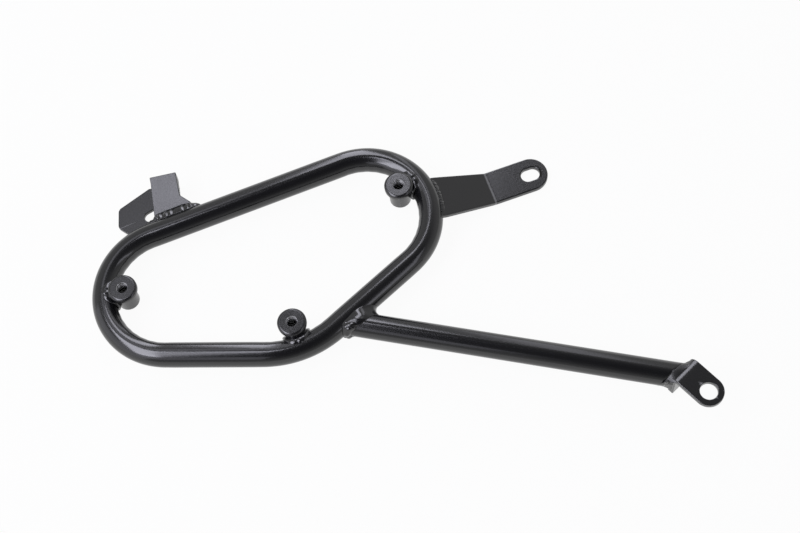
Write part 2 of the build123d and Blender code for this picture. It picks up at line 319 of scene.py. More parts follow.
# runs and bends in order round the ring: length, curvature, start and start angle of each
turns = np.radians([riseSlope, 180 + loopShape["topSlope"] - riseSlope, 180 - loopShape["topSlope"]])
partLength = np.array([loopShape["bottomRun"], lowerBend * turns[0], riseRun, endBend * turns[1],
                       loopShape["topRun"], endBend * turns[2]])
partCurve = np.array([0, 1 / lowerBend, 0, 1 / endBend, 0, 1 / endBend])
partStart = np.concatenate([[0], np.cumsum(partLength)])
partTurn = np.concatenate([[0], np.cumsum(partLength * partCurve)])
parts = np.arange(len(partLength))
bends = parts[1::2]


def alongPart(part, along):
    # step from a part's start: a line where its curvature is zero, else an arc
    curve = partCurve[part]
    first = partTurn[part]
    safe = np.where(curve == 0, 1, curve)
    turn = first + curve * along
    x = np.where(curve == 0, along * np.cos(first), (np.sin(turn) - np.sin(first)) / safe)
    y = np.where(curve == 0, along * np.sin(first), (np.cos(first) - np.cos(turn)) / safe)
    return np.stack([x, y, np.zeros_like(x)], -1), turn


steps = alongPart(parts, partLength)[0]
partOrigin = leftCentre - [0, endBend, 0] + np.concatenate([np.zeros((1, 3)), np.cumsum(steps, 0)[:-1]])


def loopAxis(along):
    # points and directions on the tube's centre line at lengths from the bottom run's start
    part = np.clip(np.searchsorted(partStart, along, side="right") - 1, 0, parts[-1])
    step, turn = alongPart(part, along - partStart[part])
    return partOrigin[part] + step, turn


def makeLoop(shape):
    # a circle carried round the ring; in the bends it is slightly oval, with faint creases inside
    total = partStart[-1]
    along = np.linspace(0, total, int(total / shape["step"]), endpoint=False)
    around = np.linspace(0, 2 * np.pi, shape["around"], endpoint=False)
    centre, turn = loopAxis(along)
    bendEnds = np.stack([partStart[bends], partStart[bends + 1]], -1)
    blends = bendEnds[..., None] + shape["blend"] * np.array([-1, 1])
    bent = np.interp(along, blends.ravel(), [0, 1, 1, 0] * len(bends), period=total)[:, None]
    inward = np.stack([-np.sin(turn), np.cos(turn), np.zeros_like(turn)], -1)[:, None]
    inside = np.clip(np.cos(around), 0, 1) ** 4
    dent = shape["crease"] * bent * inside * np.cos(2 * np.pi * along / shape["creaseStep"])[:, None]
    wide = shape["radius"] * (1 - shape["flatten"] * bent) - dent
    tall = shape["radius"] * np.ones_like(bent)
    points = (centre[:, None] + inward * (wide * np.cos(around))[..., None]
              + upward * (tall * np.sin(around))[..., None])
    faces = gridFaces(len(along), len(around), True, True)
    return addPiece("loopTube", points, faces, tubeCoat, ["loop_tube"])


makeLoop(loopShape)
print("loop tube made")

strutShape = {
    "station": 5.5, "turn": -10.0, "length": 209.5, "soft": 0.55, "sunk": 0.4, "short": 1.0, "around": 72,
    "rows": 80,
}
tabShape = {
    "turn": -45.0, "width": 18.76, "thickness": 4.0, "innerRadius": 2.0, "top": 8.5, "foot": -14.99,
    "reach": 22.0, "sideShift": 3.6, "hole": 11.0, "seamGap": 1.0, "edge": 0.6, "across": 15,
}
riseWay = heading(riseSlope)
riseSide = heading(riseSlope - 90)
strutRoot = partOrigin[2] + riseWay * strutShape["station"]
strutWay = heading(strutShape["turn"])
strutSide = heading(strutShape["turn"] + 90)
strutEnd = strutRoot + strutWay * strutShape["length"]
tabWay = heading(tabShape["turn"])
tabSide = heading(tabShape["turn"] + 90)
tabRoot = strutEnd + tabSide * tabShape["sideShift"]
tabOuter = tabShape["thickness"] + tabShape["innerRadius"]


def ringOut(around, side):
    # unit vectors out of a level tube, at angles from its given side up and over
    return np.cos(around)[..., None] * side + np.sin(around)[..., None] * upward


def strutPoint(along, around, radius):
    # a point on the strut: along its axis, then out by the radius at an angle from its north side
    return strutRoot + along[..., None] * strutWay + radius * ringOut(around, strutSide)


def strutCope(around):
    # length at which the strut's wall meets the loop's straight rise: a saddle with rounded corners, in which
    # the fourth root of cosine^4 + soft^4 stands for the cosine's size
    side = strutWay @ riseSide
    lean = strutSide @ riseSide
    saddle = (np.cos(around) ** 4 + strutShape["soft"] ** 4) ** 0.25
    return tubeRadius * (saddle - lean * np.cos(around)) / side


def strutTrim(around, radius):
    # length at which the strut's wall meets the plane of the tab's flat face
    lean = strutSide @ tabWay
    return strutShape["length"] - lean * radius * np.cos(around) / (strutWay @ tabWay)


def makeStrut(shape):
    # a circle carried along a straight line, between the saddle and the tab, with both ends closed
    around = np.linspace(0, 2 * np.pi, shape["around"], endpoint=False)
    share = np.linspace(0, 1, shape["rows"])[:, None]
    start = strutCope(around) - shape["sunk"]
    end = strutTrim(around, tubeRadius) - shape["short"]
    along = start * (1 - share) + end * share
    wall = strutPoint(along, np.broadcast_to(around, along.shape), tubeRadius)
    ends = np.broadcast_to(wall[[0, -1]].mean(1, keepdims=True), (2, len(around), 3))
    points = np.concatenate([ends[:1], wall, ends[1:]])
    faces = gridFaces(len(points), len(around), False, True)
    return addPiece("strutTube", points, faces, tubeCoat, ["strut_tube"])


makeStrut(strutShape)
print("strut made")


def lineBetween(start, end, spacing):
    # evenly spaced points from the start up to the end, without the end itself
    count = max(2, int(np.linalg.norm(end - start) / spacing))
    return start + np.linspace(0, 1, count, endpoint=False)[:, None] * (end - start)


def brokenLine(corners, spacing):
    # straight runs from corner to corner, up to the last corner
    runs = [lineBetween(a, b, spacing) for a, b in zip(corners[:-1], corners[1:])]
    return np.concatenate([*runs, corners[-1:]])


def bentLine(corners, radius, spacing=1.2, arcPoints=15):
    # a line through the corners, each inner one rounded by an arc of the radius
    corners = np.array(corners, float)
    runs = []
    last = corners[0]
    for before, corner, after in zip(corners[:-2], corners[1:-1], corners[2:]):
        back = (before - corner) / np.linalg.norm(before - corner)
        onward = (after - corner) / np.linalg.norm(after - corner)
        half = np.arccos(np.clip(back @ onward, -1, 1)) / 2
        start = corner + back * radius / np.tan(half)
        middle = corner + (back + onward) / np.linalg.norm(back + onward) * radius / np.sin(half)
        sweep = np.linspace(0, np.pi - 2 * half, arcPoints)[:, None]
        arc = middle + np.cos(sweep) * (start - middle) - np.sin(sweep) * radius * back
        runs += [lineBetween(last, start, spacing), arc[:-1]]
        last = arc[-1]
    return np.concatenate([*runs, lineBetween(last, corners[-1], spacing), corners[-1:]])


def slotRim(angle, halfStraight, radius):
    # distance from a slot's middle to its rim: flat side where the ray meets it, else the round end
    along = np.abs(np.cos(angle))
    across = np.abs(np.sin(angle))
    flat = radius / np.maximum(across, tiny)
    cap = halfStraight * along + np.sqrt(np.maximum(radius**2 - (halfStraight * across) ** 2, 0))
    return np.where(flat * along <= halfStraight, flat, cap)


ringShares = np.array([0, 0.16, 0.4, 0.7, 1])[:, None, None]  # rings from a slot's rim to its plate's outline


def holedPatch(outline, middle, length, width, turn=0.0):
    # rings of points from a slot's rim out to the outline, along rays from the slot's middle
    ray = outline - middle
    angle = np.arctan2(ray[:, 1], ray[:, 0])
    rim = slotRim(angle - np.radians(turn), (length - width) / 2, width / 2)
    inner = middle + np.stack([np.cos(angle), np.sin(angle)], -1) * rim[:, None]
    return inner * (1 - ringShares) + outline * ringShares


def roundEnd(middle, radius, seam, seamPoints, sidePoints=8, capPoints=49):
    # outline of a bar's end: along the seam, out along one side, round the end and back along the other
    side = np.linspace(seam, middle, sidePoints, endpoint=False)[1:]
    turn = np.linspace(-np.pi / 2, np.pi / 2, capPoints)
    seamLine = np.stack([np.full_like(seamPoints, seam), seamPoints], -1)
    near = np.stack([side, np.full_like(side, -radius)], -1)
    cap = np.stack([middle + radius * np.cos(turn), radius * np.sin(turn)], -1)
    far = np.stack([side[::-1], np.full_like(side, radius)], -1)
    return np.concatenate([seamLine[::-1], near, cap, far])


plateEdge = {"segments": 3, "angle": 50.0}  # facets of a soft edge, and the corner from which an edge is one


def foldedPlate(name, strip, patch, look, node):
    # the strip and the patch share the seam's points, then the sheet gets its thickness and soft edges
    stripFaces = gridFaces(*strip.shape[:2])
    patchFaces = gridFaces(*patch.shape[:2], False, True) + strip.shape[0] * strip.shape[1]
    points = np.concatenate([strip.reshape(-1, 3), patch.reshape(-1, 3)])
    faces = np.concatenate([stripFaces, patchFaces])
    piece = addPiece(name, points, faces, plateCoat, [node])
    wall = piece.modifiers.new("thickness", "SOLIDIFY")
    wall.thickness = look["thickness"] * milli
    wall.offset = 0.0
    wall.use_even_offset = True
    edge = piece.modifiers.new("softEdge", "BEVEL")
    edge.width = look["edge"] * milli
    edge.segments = plateEdge["segments"]
    edge.limit_method = "ANGLE"
    edge.angle_limit = np.radians(plateEdge["angle"])
    edge.harden_normals = True
    edge.use_clamp_overlap = False
    return piece


def makeTab(shape):
    # a flat bar bent square: the strip runs from the foot over the bend, the patch holds the bolt hole
    depth = shape["thickness"] / 2
    half = shape["width"] / 2
    level = shape["top"] - depth
    seam = shape["reach"] - half - shape["seamGap"]
    line = bentLine([(depth, shape["foot"]), (depth, level), (seam, level)], shape["innerRadius"] + depth)
    across = np.linspace(-half, half, shape["across"])
    strip = (tabRoot + line[:, None, :1] * tabWay + line[:, None, 1:] * upward
             + across[None, :, None] * tabSide)
    outline = roundEnd(shape["reach"], half, seam, across)
    flat = holedPatch(outline, np.array([shape["reach"], 0.0]), shape["hole"], shape["hole"])
    patch = tabRoot + flat[..., :1] * tabWay + flat[..., 1:] * tabSide + level * upward
    return foldedPlate("strutTab", strip, patch, shape, "strut_tab")


makeTab(tabShape)

strapShape = {
    "turn": 20.3, "sideShift": -2.95, "thickness": 4.0, "innerRadius": 8.0, "rootWidth": 29.2,
    "endWidth": 23.1, "bendReach": 34.0, "drop": 12.99, "slotReach": 62.5, "slotLength": 12.5,
    # this line's last two entries set a painted highlight along the fold: its strength and its half width
    "slotWidth": 9.4, "start": -5.0, "seamGap": 1.0, "edge": 0.9, "foldHighlight": 0.28, "foldLine": 1.1,
    "across": 17,
}
strapWay = heading(strapShape["turn"])
strapSide = heading(strapShape["turn"] + 90)
strapReach = np.sqrt((endBend + tubeRadius) ** 2 - strapShape["sideShift"] ** 2)
strapRoot = rightCentre + strapSide * strapShape["sideShift"] + strapWay * strapReach
strapFall = strapShape["drop"] / strapShape["bendReach"]


def makeStrap(shape):
    # a tapered bar: it falls in a straight line, bends level and ends round about its slot
    half = shape["endWidth"] / 2
    seam = shape["slotReach"] - half - shape["seamGap"]
    corners = [(shape["start"], -shape["start"] * strapFall), (shape["bendReach"], -shape["drop"]),
               (seam, -shape["drop"])]
    line = bentLine(corners, shape["innerRadius"] + shape["thickness"] / 2)
    width = np.interp(line[:, 0], [0, shape["bendReach"]], [shape["rootWidth"] / 2, half])
    share = np.linspace(-1, 1, shape["across"])
    strip = (strapRoot + line[:, None, :1] * strapWay + line[:, None, 1:] * upward
             + (width[:, None] * share)[..., None] * strapSide)
    outline = roundEnd(shape["slotReach"], half, seam, share * half)
    flat = holedPatch(outline, np.array([shape["slotReach"], 0.0]), shape["slotLength"], shape["slotWidth"])
    patch = strapRoot + flat[..., :1] * strapWay + flat[..., 1:] * strapSide - shape["drop"] * upward
    piece = foldedPlate("rearStrap", strip, patch, shape, "rear_strap")
    # a painted highlight along the fold: a thin band of steel colour, fading to nothing at the line's half
    # width
    past = np.abs((spotsOf(piece) - strapRoot) @ strapWay - shape["bendReach"])
    laySteel(piece, shape["foldHighlight"] * np.clip(1 - past / shape["foldLine"], 0, 1))
    return piece


makeStrap(strapShape)

bracketShape = {
    "station": 14.5, "turn": 13.0, "thickness": 3.0, "innerRadius": 0.5, "width": 17.5, "reach": 36.6,
    "clearance": 0.1, "webTaper": 1.2, "tilt": 14.0, "seat": -2.0, "westFlare": 2.6, "flare": 6.0,
    "flareTop": 21.4, "flareFoot": 15.7, "start": 3.0, "ear": 3.8, "earReach": 36.6, "relief": 1.0,
    "westTop": (-34.5, 26.0), "westFoot": (-36.3, 12.8), "southWest": -19.7, "southEast": -3.0,
    "underTube": 1.0, "waist": (1.5, 24.0), "corner": 4.0, "slotMiddle": (-11.4, 17.2), "slotTurn": 21.0,
    "slotLength": 14.0, "slotWidth": 6.8, "edge": 0.5, "across": 15, "stripStep": 0.8, "edgeStep": 1.5,
}
topWay = heading(loopShape["topSlope"])
topSide = heading(loopShape["topSlope"] + 90)
bracketRoot = partOrigin[5] + topWay * bracketShape["station"]
bracketWay = heading(bracketShape["turn"])
bracketSide = heading(bracketShape["turn"] + 90)
tubeLean = np.radians(loopShape["topSlope"] - bracketShape["turn"])
plateMiddle = -tubeRadius - bracketShape["clearance"] - bracketShape["thickness"] / 2


def flangeHeight(reach):
    # middle of the tilted flange at a level reach from the tube's axis
    return bracketShape["seat"] + (reach - tubeRadius) * np.tan(np.radians(bracketShape["tilt"]))


def underTube(along):
    # a corner of the plate a little past the tube's axis, at a place along the bracket
    return along, along * np.tan(tubeLean) - bracketShape["underTube"]


def makeBracket(shape):
    # one folded sheet: tilted flange, upright web and a level plate under the tube, flared and notched
    half = shape["width"] / 2
    web = shape["reach"] - shape["thickness"] / 2
    fold = shape["reach"] - shape["thickness"] - shape["innerRadius"]
    folds = [(shape["start"], flangeHeight(shape["start"])), (web, flangeHeight(web)), (web, plateMiddle),
             (fold, plateMiddle)]
    line = brokenLine(np.array(folds), shape["stripStep"])
    onFlange = np.arange(len(line)) < np.argmax(line[:, 1])
    fall = np.clip((shape["seat"] - line[:, 1]) / (shape["seat"] - plateMiddle), 0, 1)
    flared = np.interp(line[:, 0], [shape["flareFoot"], shape["flareTop"]], [shape["flare"], 0])
    westFlared = shape["westFlare"] * np.clip(1 - line[:, 0] / fold, 0, 1)
    east = np.where(onFlange, half + flared, half - shape["webTaper"] * fall)
    west = np.where(onFlange, -half - westFlared, -half)
    share = np.linspace(0, 1, shape["across"])
    across = west[:, None] + (east - west)[:, None] * share
    strip = (bracketRoot + line[:, None, :1] * bracketSide + line[:, None, 1:] * upward
             + across[..., None] * bracketWay)
    # the plate's outline: the seam, the ear's notch, the round west corners, under the tube, the waist
    seam = np.stack([across[-1], np.full_like(share, fold)], -1)[::-1]
    notchSide = -half - shape["relief"]
    earTip = -half - shape["ear"]
    notch = np.array([(notchSide, fold), (notchSide, shape["earReach"]), (earTip, shape["earReach"])])
    southWest = underTube(shape["southWest"])
    westEdge = bentLine([notch[-1], shape["westTop"], shape["westFoot"], southWest], shape["corner"])
    tongue = half - shape["webTaper"]
    southEdge = np.array([southWest, underTube(shape["southEast"]), shape["waist"],
                          (tongue, fold - shape["relief"]), (tongue, fold)])
    outline = np.concatenate([seam, brokenLine(notch, shape["edgeStep"])[:-1], westEdge[:-1],
                              brokenLine(southEdge, shape["edgeStep"])[:-1]])
    flat = holedPatch(outline, np.array(shape["slotMiddle"]), shape["slotLength"], shape["slotWidth"],
                      shape["slotTurn"])
    patch = bracketRoot + flat[..., :1] * bracketWay + flat[..., 1:] * bracketSide + plateMiddle * upward
    return foldedPlate("hangerBracket", strip, patch, shape, "hanger_bracket")


makeBracket(bracketShape)
print("tab, strap and bracket made")

bossShape = {
    "foot": -8.0, "top": 12.0, "body": 7.0, "head": 9.25, "neck": 8.0, "flat": 8.0, "drop": 0.9, "bore": 3.4,
    "mouth": 0.4, "soft": 0.22, "pitch": 1.25, "thread": 0.55, "flank": 1.3, "root": 0.15, "lead": 1.0,
    "runOut": 0.6, "ring": 0.8, "ringDepth": 0.009, "bareDepth": 6.5, "slack": 0.01, "around": 96,
    "boreRows": 150, "topRows": 34, "crease": 28.0,
}
bossPlaces = {
    "Lower": (lowerCentre, lowerBend, loopShape["lowerTurn"]),
    "Left": (leftCentre, endBend, 183.8),
    "Upper": (rightCentre, endBend, 39.9),
}


def bossProfile(shape):
    # corners of the turned section from the foot's mouth to the top's edge, each cut by a short facet,
    # then the top face with its turning rings, a wave in the radius
    mouth = shape["bore"] + shape["mouth"]
    corners = np.array([
        (mouth, shape["foot"]), (shape["body"], shape["foot"]), (shape["body"], shape["neck"]),
        (shape["head"], shape["neck"]), (shape["head"], shape["top"] - shape["drop"]),
        (shape["flat"], shape["top"]), (mouth, shape["top"]),
    ])
    before = corners[:-2] - corners[1:-1]
    after = corners[2:] - corners[1:-1]
    before = before / np.linalg.norm(before, axis=1, keepdims=True)
    after = after / np.linalg.norm(after, axis=1, keepdims=True)
    facets = corners[1:-1, None] + shape["soft"] * np.stack([before, after], 1)
    radius = np.linspace(shape["flat"] - 2 * shape["soft"], mouth, shape["topRows"])
    ring = shape["ringDepth"] * (np.cos(2 * np.pi * radius / shape["ring"]) - 1)
    return np.concatenate([corners[:1], facets.reshape(-1, 2), np.stack([radius, shape["top"] + ring], -1)])


def makeBoss(name, place, shape, node):
    # the section turned about the boss's axis; the bore is a helix, its radius a wave in height and angle
    centre, bend, turn = place
    axis = centre + heading(turn) * (bend - loopShape["bossReach"])
    around = np.linspace(0, 2 * np.pi, shape["around"], endpoint=False)
    outer = bossProfile(shape)
    high = shape["top"] - shape["mouth"]
    low = shape["foot"] + shape["mouth"]
    depth = np.linspace(high, low, shape["boreRows"])
    phase = depth[:, None] / shape["pitch"] - around / (2 * np.pi)
    wave = np.clip(shape["flank"] * 2 * np.abs(phase - np.floor(phase) - 0.5) - shape["root"], 0, 1)
    fade = np.clip(np.minimum(high - shape["lead"] - depth, depth - low) / shape["runOut"], 0, 1)[:, None]
    bore = shape["bore"] + shape["thread"] * wave * fade
    radius = np.concatenate([np.broadcast_to(outer[:, :1], (len(outer), len(around))), bore])
    height = np.concatenate([outer[:, 1], depth])[:, None] * np.ones(len(around))
    points = axis + np.stack([radius * np.cos(around), radius * np.sin(around), height], -1)
    faces = gridFaces(*radius.shape, True, True)
    piece = addPiece(name, points, faces, bossCoat, [node], shape["crease"])
    # the bore's first threads are uncoated steel: points near the axis, fading with the depth below the top
    spots = spotsOf(piece)
    reach = np.linalg.norm(spots[:, :2] - axis[:2], axis=1)
    widest = shape["bore"] + shape["thread"] + shape["slack"]
    inBore = (reach < widest) & (spots[:, 2] < high + shape["slack"])
    laySteel(piece, np.clip(1 - (high - spots[:, 2]) / shape["bareDepth"], 0, 1) * inBore)
    return piece


for word, place in bossPlaces.items():
    makeBoss("boss" + word, place, bossShape, "boss_" + word.lower())
print("bosses made")

# what a bead has unless its own dictionary says otherwise; a slow wave has a height, a count and a start
beadForm = {
    "points": 17, "hump": 0.75, "passes": 0.0, "edge": 0.6, "wander": ((0.3, 3, 0.7), (0.2, 7, 2.1)),
    "swell": ((0.6, 5, 1.3), (0.4, 11, 0.4)),
}


def slowWaves(way, waves):
    # a sum of sines of unlike counts, so that no two lumps of a bead are the same
    return sum(high * np.sin(count * way + start) for high, count, start in waves)


def beadSurface(name, root, toeA, toeB, look, closed, finish=beadCoat, calm=0.0,
                out=None):
    # a section from toe to toe with a crown, closed through the root; overlapping scallops of uneven size run
    # along it, each a cosine's hump, bent to a crescent, and where calm is 1 the bead is smooth
    look = {**beadForm, **look}
    share = np.linspace(0, 1, look["points"])
    bow = (2 * share - 1) ** 2
    middle = (toeA + toeB) / 2
    stride = np.linalg.norm(np.roll(middle, -1, 0) - middle, axis=1)
    length = np.cumsum(stride) - stride
    total = stride.sum() if closed else length[-1]
    count = max(1, round(total / look["ripple"]))
    way = 2 * np.pi * length / total
    size = 1 + look["uneven"] * slowWaves(way, look["swell"])
    phase = (count * length / total + slowWaves(way, look["wander"]))[:, None] - look["chevron"] * bow
    stagger = look["passes"] * (share - 0.5)
    hump = np.abs(np.cos(np.pi * (phase + stagger)) * np.cos(np.pi * (phase - stagger))) ** look["hump"]
    ridge = look["ridge"] * (size * (1 - calm))[:, None] * hump
    crown = (look["crown"] * size)[:, None] * (1 - bow) + ridge * (1 - bow) ** look["edge"]
    edge = 1 - look["wave"] * (1 - calm) * (1 - hump[:, 0])
    if not closed:
        blunt = np.sqrt(1 - np.abs(np.linspace(-1, 1, len(root))) ** look["blunt"])
        edge = edge * blunt
        crown = crown * blunt[:, None]
    toeA = root + (toeA - root) * edge[:, None]
    toeB = root + (toeB - root) * edge[:, None]
    out = middle - root if out is None else out
    out = out / np.maximum(np.linalg.norm(out, axis=1, keepdims=True), tiny)
    surface = (toeA[:, None] * (1 - share)[None, :, None] + toeB[:, None] * share[None, :, None]
               + out[:, None] * crown[..., None])
    points = np.concatenate([surface, root[:, None]], 1)
    return addPiece(name, points, gridFaces(*points.shape[:2], closed, True), finish)


bossBead = {
    "legBoss": 2.0, "legAlong": 2.9, "legAround": 3.2, "crown": 1.2, "ridge": 0.1, "ripple": 6.0,
    "chevron": 0.2, "uneven": 0.14, "wave": 0.03, "count": 340,
}


def makeBossBead(name, place, look):
    # round the oval where the boss's wall meets the tube: one toe on the wall, one on the tube
    centre, bend, turn = place
    inset = loopShape["bossReach"]
    body = bossShape["body"]
    way = np.linspace(0, 2 * np.pi, look["count"], endpoint=False)
    widest = np.arccos((inset - tubeRadius) / body)
    swing = widest * np.cos(way)
    reach = inset - body * np.cos(swing)
    height = np.sign(np.sin(way)) * np.sqrt(np.maximum(tubeRadius**2 - reach**2, 0))
    axis = centre + heading(turn) * (bend - inset)

    def onBoss(angle, z):
        # on the boss's wall, at an angle from the way out of the bend
        return axis + body * heading(turn + np.degrees(angle)) + z[:, None] * upward

    def onTube(along, angle):
        # on the tube's wall, at a length along the bend and an angle up from its inner side
        out = heading(turn + np.degrees(along / bend))
        return (centre + out * (bend - tubeRadius * np.cos(angle))[:, None]
                + (tubeRadius * np.sin(angle))[:, None] * upward)

    wallToe = onBoss(swing * look["legBoss"], height * look["legBoss"])
    tubeTurn = np.arcsin(height / tubeRadius) * look["legAround"]
    tubeToe = onTube(body * np.sin(swing) * look["legAlong"], tubeTurn)
    return beadSurface(name, onBoss(swing, height), wallToe, tubeToe, look, True)


for word, place in bossPlaces.items():
    makeBossBead("boss" + word + "Bead", place, bossBead)

strutBead = {
    "onStrut": (7.0, 10.5, 3.5), "onLoop": (7.0, 1.2, 2.2), "crowns": (-1.3, 1.3, 0.7), "ridge": 0.5,
    "ripple": 6.4, "passes": 1.1, "chevron": 0.2, "uneven": 0.35, "wave": 0.08, "sunk": 0.8,
    "calmFrom": -0.35, "calmOver": 0.5, "count": 340,
}


def makeStrutBead(look):
    # round the strut's root: legs given for the crotch, the top and the heel, and blended between
    around = np.linspace(0, 2 * np.pi, look["count"], endpoint=False)
    north = np.clip(np.cos(around), 0, 1) ** 2
    south = np.clip(-np.cos(around), 0, 1) ** 2
    shares = np.stack([north, 1 - north - south, south])
    legStrut, legLoop, crown = (np.array(look[key]) @ shares for key in ("onStrut", "onLoop", "crowns"))
    cope = strutCope(around)
    root = strutPoint(cope, around, tubeRadius)
    strutToe = strutPoint(cope + legStrut, around, tubeRadius)
    # on the loop's wall, laid flat about the saddle's middle, the toe is a leg further out than the root
    along = (root - strutRoot) @ riseWay
    angle = np.arctan2(root[:, 2], (root - strutRoot) @ riseSide)
    middle = (along.max() + along.min()) / 2
    flat = np.stack([along - middle, angle * tubeRadius], -1)
    flat = flat * (1 + legLoop / np.linalg.norm(flat, axis=1))[:, None]
    loopOut = ringOut(flat[:, 1] / tubeRadius, riseSide)
    loopToe = strutRoot + (flat[:, :1] + middle) * riseWay + tubeRadius * loopOut
    inner = strutRoot + along[:, None] * riseWay + (tubeRadius - look["sunk"]) * ringOut(angle, riseSide)
    calm = np.clip((np.cos(around) - look["calmFrom"]) / look["calmOver"], 0, 1)
    return beadSurface("strutBead", inner, strutToe, loopToe, {**look, "crown": crown}, True, calm=calm,
                       out=ringOut(around, strutSide) + loopOut)


makeStrutBead(strutBead)

tabBead = {
    "onStrut": 1.8, "onTab": 1.3, "heel": 4.4, "heelTurn": 225.0, "drop": 5.0, "wrap": 2.5, "wrapOver": 2.0,
    "crown": 0.15, "ridge": 0.35, "ripple": 3.4, "chevron": 0.3, "uneven": 0.25, "wave": 0.08, "sunk": 0.6,
    "level": 7.7, "rootBend": 0.3, "fillSlope": 2.0, "fillFrom": 0.2, "edgeGap": 0.1, "footGap": 0.5,
    "count": 300,
}
heelBead = {
    **tabBead, "from": 125, "to": 250, "crown": 0.9, "ridge": 0.7, "ripple": 2.8, "passes": 0.7, "blunt": 6,
}


def tabFaceX(z):
    # the tab's outer face: upright, then a quarter bend over its top
    rise = np.clip(z - (tabShape["top"] - tabOuter), 0, tabOuter)
    return tabOuter - np.sqrt(tabOuter**2 - rise**2)


def makeTabBeads(look, heelLook):
    # round the strut at the tab's flat face: over the top a smooth fill up to the tab's bend, and under the
    # south side, where the strut overhangs the tab, a heavy bead that wraps its edge, with lumps on the heel
    around = np.linspace(0, 2 * np.pi, look["count"], endpoint=False)
    south = np.clip(np.cos(around - np.radians(look["heelTurn"])), 0, 1) ** 2

    def onEdge(spots):
        # spots past the tab's south edge go back to it, and a little along it; none is under the tab's foot
        past = np.clip(look["edgeGap"] - tabShape["width"] / 2 - (spots - tabRoot) @ tabSide, 0, None)
        wrap = look["wrap"] * np.clip(past / look["wrapOver"], 0, 1)
        spots = spots + past[:, None] * tabSide + wrap[:, None] * tabWay
        low = np.clip(tabShape["foot"] + look["footGap"] - spots[:, 2], 0, None)
        return spots + low[:, None] * upward

    def onTab(radius, level):
        # on the tab's face, where the upper half of the ring is drawn to one level on the bend
        spots = strutPoint(strutTrim(around, radius), around, radius[:, None])
        drawn = np.clip(look["fillSlope"] * np.sin(around) + look["fillFrom"], 0, 1)
        spots[:, 2] += (level - spots[:, 2]) * drawn
        return onEdge(spots + tabFaceX(spots[:, 2])[:, None] * tabWay)

    root = onTab(np.full_like(around, tubeRadius - look["sunk"]), look["level"] * look["rootBend"])
    legStrut = look["onStrut"] + look["heel"] * south
    strutToe = strutPoint(strutTrim(around, tubeRadius) - legStrut, around, tubeRadius)
    legTab = look["onTab"] * (1 - np.clip(np.sin(around), 0, 1)) + look["drop"] * south
    tabToe = onTab(tubeRadius + legTab, look["level"])
    beadSurface("tabBead", root, strutToe, tabToe, look, True, fillCoat, calm=1.0)
    heel = (around > np.radians(heelLook["from"])) & (around < np.radians(heelLook["to"]))
    heelToe = (strutToe[heel] + tabToe[heel]) / 2
    beadSurface("tabHeelBead", root[heel], strutToe[heel], heelToe, heelLook, False)


makeTabBeads(tabBead, heelBead)

flangeBead = {
    "west": -16.0, "east": 23.0, "leg": 5.4, "flareLeg": 4.32, "endLeg": 2.4, "rise": 5.4, "endRise": 0.6,
    "pastWest": 1.0, "margin": 2.0, "sunk": 0.6, "crown": 1.2, "ridge": 0.6, "ripple": 5.4, "chevron": 0.3,
    "uneven": 0.25, "wave": 0.0, "edge": 1.4, "blunt": 8, "calmAlong": (-4.0, 6.0), "calm": 0.8, "count": 260,
}


def makeFlangeBead(look):
    # along the tube on top of the flange; past the flange's sides the bead draws in to the tube
    along = np.linspace(look["west"], look["east"], look["count"])
    half = bracketShape["width"] / 2
    stations = [look["west"], -half - look["pastWest"], -half + look["margin"], half + look["margin"],
                half + bracketShape["flare"] + look["margin"], look["east"]]
    legs = [look["endLeg"], look["endLeg"], look["leg"], look["leg"], look["flareLeg"], look["endLeg"]]
    leg = np.interp(along, stations, legs)
    skin = bracketShape["thickness"] / 2 / np.cos(np.radians(bracketShape["tilt"]))

    def onFlange(reach):
        # on top of the flange, at a level reach from the tube's axis
        spot = bracketRoot + along[:, None] * topWay + reach[:, None] * topSide
        lift = flangeHeight((spot - bracketRoot) @ bracketSide) + skin
        return spot + lift[:, None] * upward

    root = onFlange(np.full_like(along, tubeRadius - look["sunk"]))
    rise = look["rise"] * np.interp(leg, [0, look["leg"]], [look["endRise"], 1])
    tubeOut = ringOut(np.arcsin(rise / tubeRadius), topSide)
    tubeToe = bracketRoot + along[:, None] * topWay + tubeRadius * tubeOut
    calm = np.interp(along, look["calmAlong"], [0, look["calm"]])
    return beadSurface("flangeBead", root, onFlange(tubeRadius + leg), tubeToe, look, False, calm=calm)


makeFlangeBead(flangeBead)

strapBead = {
    "spread": 14.0, "shift": -3.0, "onStrap": 1.8, "onTube": 2.0, "sunk": 0.4, "crown": 0.25, "ridge": 0.25,
    "ripple": 2.2, "chevron": 0.4, "uneven": 0.3, "wave": 0.12, "blunt": 10, "count": 180,
}


def makeStrapBead(name, face, look):
    # along the strap's root on its upper face, 1, or its lower one, -1, round the outside of the bend
    middle = strapShape["turn"]
    turn = np.linspace(middle - look["spread"], middle + look["spread"], look["count"])
    out = heading(turn + look["shift"])
    skin = strapShape["thickness"] / 2 * np.sqrt(1 + strapFall**2)

    def onStrap(past):
        # on the strap's face, past the place where it meets the tube's wall
        spot = rightCentre + out * (endBend + np.sqrt(tubeRadius**2 - skin**2) + past)
        level = (spot - strapRoot) @ strapWay
        return spot + (face * skin - level * strapFall)[:, None] * upward

    angle = face * (np.arcsin(skin / tubeRadius) + look["onTube"] / tubeRadius)
    tubeToe = rightCentre + out * (endBend + tubeRadius * np.cos(angle)) + tubeRadius * np.sin(angle) * upward
    return beadSurface(name, onStrap(-look["sunk"]), onStrap(look["onStrap"]), tubeToe, look, False)


makeStrapBead("strapUpperBead", 1, strapBead)
makeStrapBead("strapLowerBead", -1, strapBead)

plateBead = {
    "leg": 2.3, "onPlate": 0.9, "sunk": 1.2, "crown": 0.3, "ridge": 0.3, "ripple": 2.4, "chevron": 0.4,
    "uneven": 0.3, "wave": 0.12, "blunt": 8, "count": 160,
}


